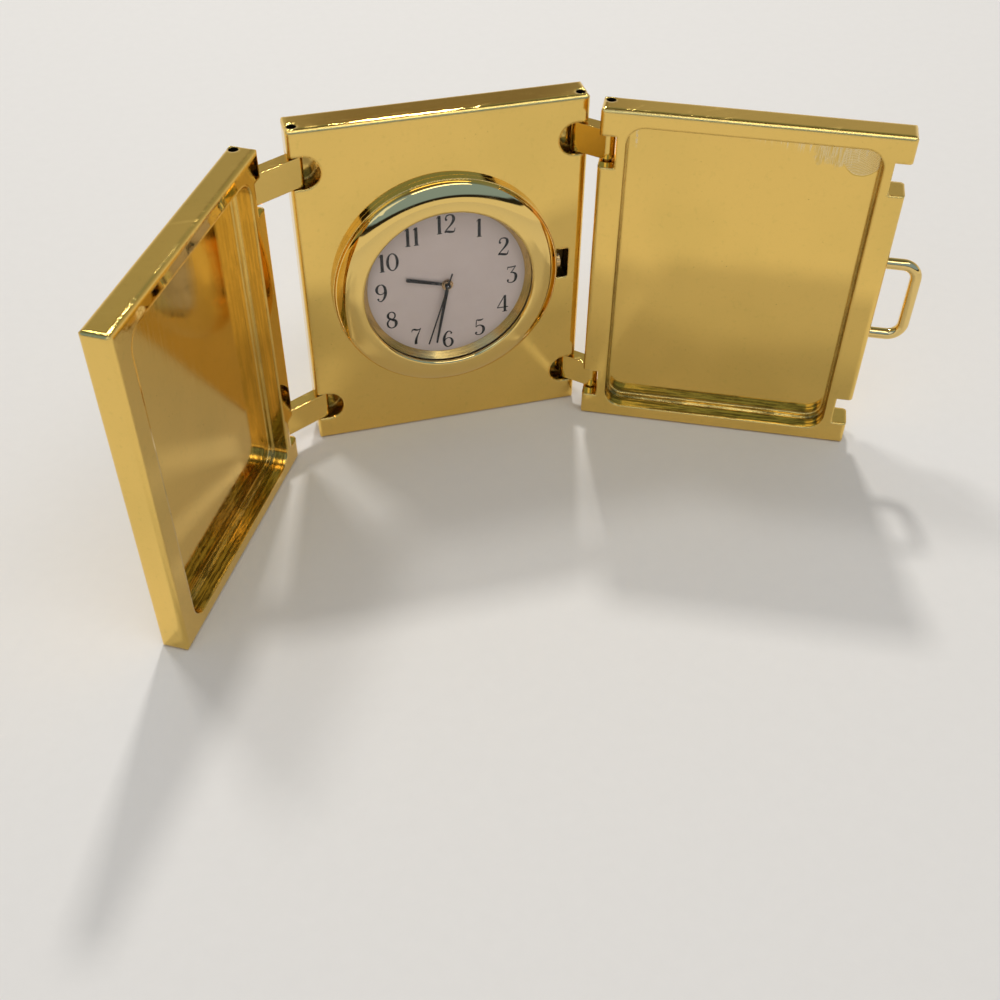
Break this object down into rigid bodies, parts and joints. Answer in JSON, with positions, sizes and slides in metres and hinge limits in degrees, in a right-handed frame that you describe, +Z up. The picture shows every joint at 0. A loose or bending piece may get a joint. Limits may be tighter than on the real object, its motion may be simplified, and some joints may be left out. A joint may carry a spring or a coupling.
{
  "type": "folding desk clock",
  "caption": "Polished brass folding clock: an upright panel with a thin round clock head, and two recessed wings on short links that fold shut over it like a suitcase with a carry handle.",
  "frame": {"origin": "middle of the centre panel's lower face, on the surface that the clock stands on", "axes": "+Z up, -Y out of the dial towards the reader, +X to the reader's right"},
  "size_m": [0.125, 0.048, 0.057],
  "materials": {
    "polished_brass": "mirror-polished gold-tone brass, lightly worn",
    "bright_brass": "mirror-polished gold-tone brass",
    "pin_brass": "plain drawn brass",
    "case_brass": "turned brass",
    "crystal_glass": "clear polished",
    "gasket_plastic": "moulded",
    "dial_paint": "satin silvery white with printed black numerals",
    "hand_black": "black lacquer",
    "movement_steel": "plated",
    "movement_plastic": "moulded",
    "gear_brass": "machined",
    "battery_steel": "satin",
    "coil_copper": "enamelled copper wire"
  },
  "bodies": {
    "centre": {"centre_panel": "polished_brass", "centre_left_pins": "pin_brass", "centre_right_pins": "pin_brass", "bezel": "bright_brass", "crystal": "crystal_glass", "crystal_gasket": "gasket_plastic", "dial_ring": "bright_brass", "dial": "dial_paint", "case_band": "case_brass", "case_back": "case_brass", "fit_ring": "gasket_plastic", "movement_holder": "movement_plastic", "main_plate": "movement_steel", "train_bridge": "movement_plastic", "battery": "battery_steel", "battery_clamp": "movement_steel", "coil": "coil_copper", "stator": "movement_steel"},
    "left_links": {"left_upper_link": "polished_brass", "left_lower_link": "polished_brass"},
    "left_wing": {"left_wing": "polished_brass", "left_wing_pins": "pin_brass"},
    "right_links": {"right_upper_link": "polished_brass", "right_lower_link": "polished_brass"},
    "right_wing": {"right_wing": "polished_brass", "right_wing_pins": "pin_brass", "carry_handle": "bright_brass"},
    "hour": {"hour_hand": "hand_black", "hour_wheel": "gear_brass"},
    "minute": {"minute_hand": "hand_black", "cannon_pinion": "gear_brass"},
    "second": {"second_hand": "hand_black", "second_arbor": "movement_steel"},
    "minute_wheel": {"minute_wheel": "gear_brass"},
    "crown_slide": {"setting_lever": "movement_steel"},
    "crown": {"crown": "bright_brass", "stem": "movement_steel"}
  },
  "joints": [
    {"name": "left_links_swing", "type": "hinge", "parent": "centre", "child": "left_links", "pos_m": [-0.0218, -0.001, 0], "axis": [0, 0, 1], "range_deg": [-26.6, 63.4]},
    {"name": "left_wing_swing", "type": "hinge", "parent": "left_links", "child": "left_wing", "pos_m": [-0.03065, -0.00543, 0], "axis": [0, 0, 1], "range_deg": [-123.3, 56.7]},
    {"name": "right_links_swing", "type": "hinge", "parent": "centre", "child": "right_links", "pos_m": [0.0218, -0.001, 0], "axis": [0, 0, -1], "range_deg": [-43.9, 46.1]},
    {"name": "right_wing_swing", "type": "hinge", "parent": "right_links", "child": "right_wing", "pos_m": [0.02547, -0.00454, 0], "axis": [0, 0, -1], "range_deg": [-71.2, 108.8]},
    {"name": "second_turn", "type": "hinge", "parent": "centre", "child": "second", "pos_m": [0, -0.0025, 0.0285], "axis": [0, 1, 0], "continuous": true},
    {"name": "minute_turn", "type": "hinge", "parent": "centre", "child": "minute", "pos_m": [0, -0.0025, 0.0285], "axis": [0, 1, 0], "continuous": true},
    {"name": "hour_turn", "type": "hinge", "parent": "centre", "child": "hour", "pos_m": [0, -0.0025, 0.0285], "axis": [0, 1, 0], "continuous": true},
    {"name": "minute_wheel_turn", "type": "hinge", "parent": "centre", "child": "minute_wheel", "pos_m": [0.0036, -0.0025, 0.0285], "axis": [0, 1, 0], "continuous": true},
    {"name": "crown_pull", "type": "slide", "parent": "centre", "child": "crown_slide", "axis": [1, 0, 0], "range_m": [0, 0.0006]},
    {"name": "crown_turn", "type": "hinge", "parent": "crown_slide", "child": "crown", "pos_m": [0.018, -0.00115, 0.0285], "axis": [1, 0, 0], "continuous": true}
  ],
  "couplings": [
    {"joint": "minute_turn", "follows": "second_turn", "ratio": 0.016667},
    {"joint": "hour_turn", "follows": "second_turn", "ratio": 0.0013889},
    {"joint": "minute_wheel_turn", "follows": "second_turn", "ratio": -0.0055556}
  ]
}
